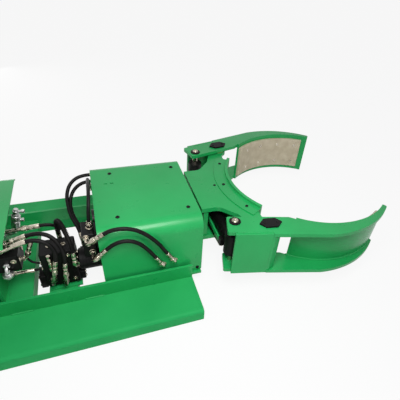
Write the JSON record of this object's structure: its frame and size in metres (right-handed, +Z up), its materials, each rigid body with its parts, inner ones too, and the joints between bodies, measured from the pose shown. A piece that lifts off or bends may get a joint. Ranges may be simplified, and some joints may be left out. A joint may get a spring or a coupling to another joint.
{
  "type": "forklift drum attachment",
  "caption": "Fork-mounted drum clamp with a hydraulic rotator, a turning head and curved gripping arms that close on a drum.",
  "frame": {"origin": "middle of the bounding box without the hoses, at the underside of the fork pockets", "axes": "+X forward from the truck to the drum, +Y to the left, +Z up"},
  "size_m": [1.8438, 0.8872, 0.4358],
  "materials": {
    "green_paint": "gloss",
    "black_paint": "semi-gloss",
    "zinc_steel": "zinc plated",
    "machined_steel": "machined",
    "chromed_rod": "polished",
    "bronze": "machined",
    "hose_rubber": "matte",
    "pad_rubber": "matte"
  },
  "bodies": {
    "frame": {"near_fork_pocket": "green_paint", "far_fork_pocket": "green_paint", "side_rails": "green_paint", "cross_members": "green_paint", "rotator_base": "green_paint", "front_bulkhead": "green_paint", "rear_bulkhead": "green_paint", "cover": "green_paint", "cover_screws": "zinc_steel", "spindle_bearings": "machined_steel", "hydraulic_motor": "black_paint", "counterbalance_block": "black_paint", "manifold": "black_paint", "manifold_bracket": "black_paint", "valve_block": "black_paint", "rear_housing": "green_paint", "rear_base": "green_paint", "housing_panels": "green_paint", "side_hose_upper": "hose_rubber", "side_hose_lower": "hose_rubber", "loop_hose_outer": "hose_rubber", "loop_hose_inner": "hose_rubber", "valve_hose_upper": "hose_rubber", "valve_hose_lower": "hose_rubber", "panel_hose": "hose_rubber", "guarded_hose": "hose_rubber", "edge_hose": "hose_rubber", "motor_fittings": "zinc_steel", "rotator_fittings": "zinc_steel", "manifold_fittings": "zinc_steel", "panel_fittings": "zinc_steel"},
    "head": {"spindle": "machined_steel", "ring_gear": "machined_steel", "head_back_plate": "green_paint", "head_top_plate": "green_paint", "head_bottom_plate": "green_paint", "head_front_web": "green_paint", "cradle_strips": "green_paint", "head_bolts": "zinc_steel", "pivot_bushes": "bronze"},
    "pinion": {"motor_pinion": "machined_steel"},
    "near_arm": {"near_arm_ribs": "green_paint", "near_arm_shell": "green_paint", "near_arm_wrapper": "green_paint", "near_grip_pad": "pad_rubber", "near_keeper": "black_paint", "near_lever_pin": "zinc_steel", "near_pivot_pin": "zinc_steel"},
    "far_arm": {"far_arm_ribs": "green_paint", "far_arm_shell": "green_paint", "far_arm_wrapper": "green_paint", "far_grip_pad": "pad_rubber", "far_keeper": "black_paint", "far_lever_pin": "zinc_steel", "far_pivot_pin": "zinc_steel"},
    "barrel": {"cylinder_barrel": "black_paint", "cylinder_gland": "machined_steel", "cylinder_hose": "hose_rubber", "cylinder_fittings": "zinc_steel"},
    "rod": {"cylinder_rod": "chromed_rod"}
  },
  "joints": [
    {"name": "head_turn", "type": "hinge", "parent": "frame", "child": "head", "pos_m": [0, 0, 0.2325], "axis": [1, 0, 0], "continuous": true},
    {"name": "pinion_turn", "type": "hinge", "parent": "frame", "child": "pinion", "pos_m": [0, -0.15, 0.1662], "axis": [1, 0, 0], "continuous": true},
    {"name": "far_arm_swing", "type": "hinge", "parent": "head", "child": "far_arm", "pos_m": [0.3667, 0.32, 0.2325], "axis": [0, 0, 1], "range_deg": [-16, 6]},
    {"name": "near_arm_swing", "type": "hinge", "parent": "head", "child": "near_arm", "pos_m": [0.3667, -0.32, 0.2325], "axis": [0, 0, 1], "range_deg": [-6, 16]},
    {"name": "barrel_swing", "type": "hinge", "parent": "near_arm", "child": "barrel", "pos_m": [0.2347, -0.27498, 0.2325], "axis": [0, 0, 1], "range_deg": [-16, 6]},
    {"name": "rod_swing", "type": "hinge", "parent": "far_arm", "child": "rod", "pos_m": [0.2347, 0.27498, 0.2325], "axis": [0, 0, 1], "range_deg": [-6, 16]}
  ],
  "couplings": [
    {"joint": "pinion_turn", "follows": "head_turn", "ratio": -1.7333},
    {"joint": "near_arm_swing", "follows": "far_arm_swing", "ratio": -1},
    {"joint": "barrel_swing", "follows": "far_arm_swing", "ratio": 1},
    {"joint": "rod_swing", "follows": "far_arm_swing", "ratio": -1}
  ]
}
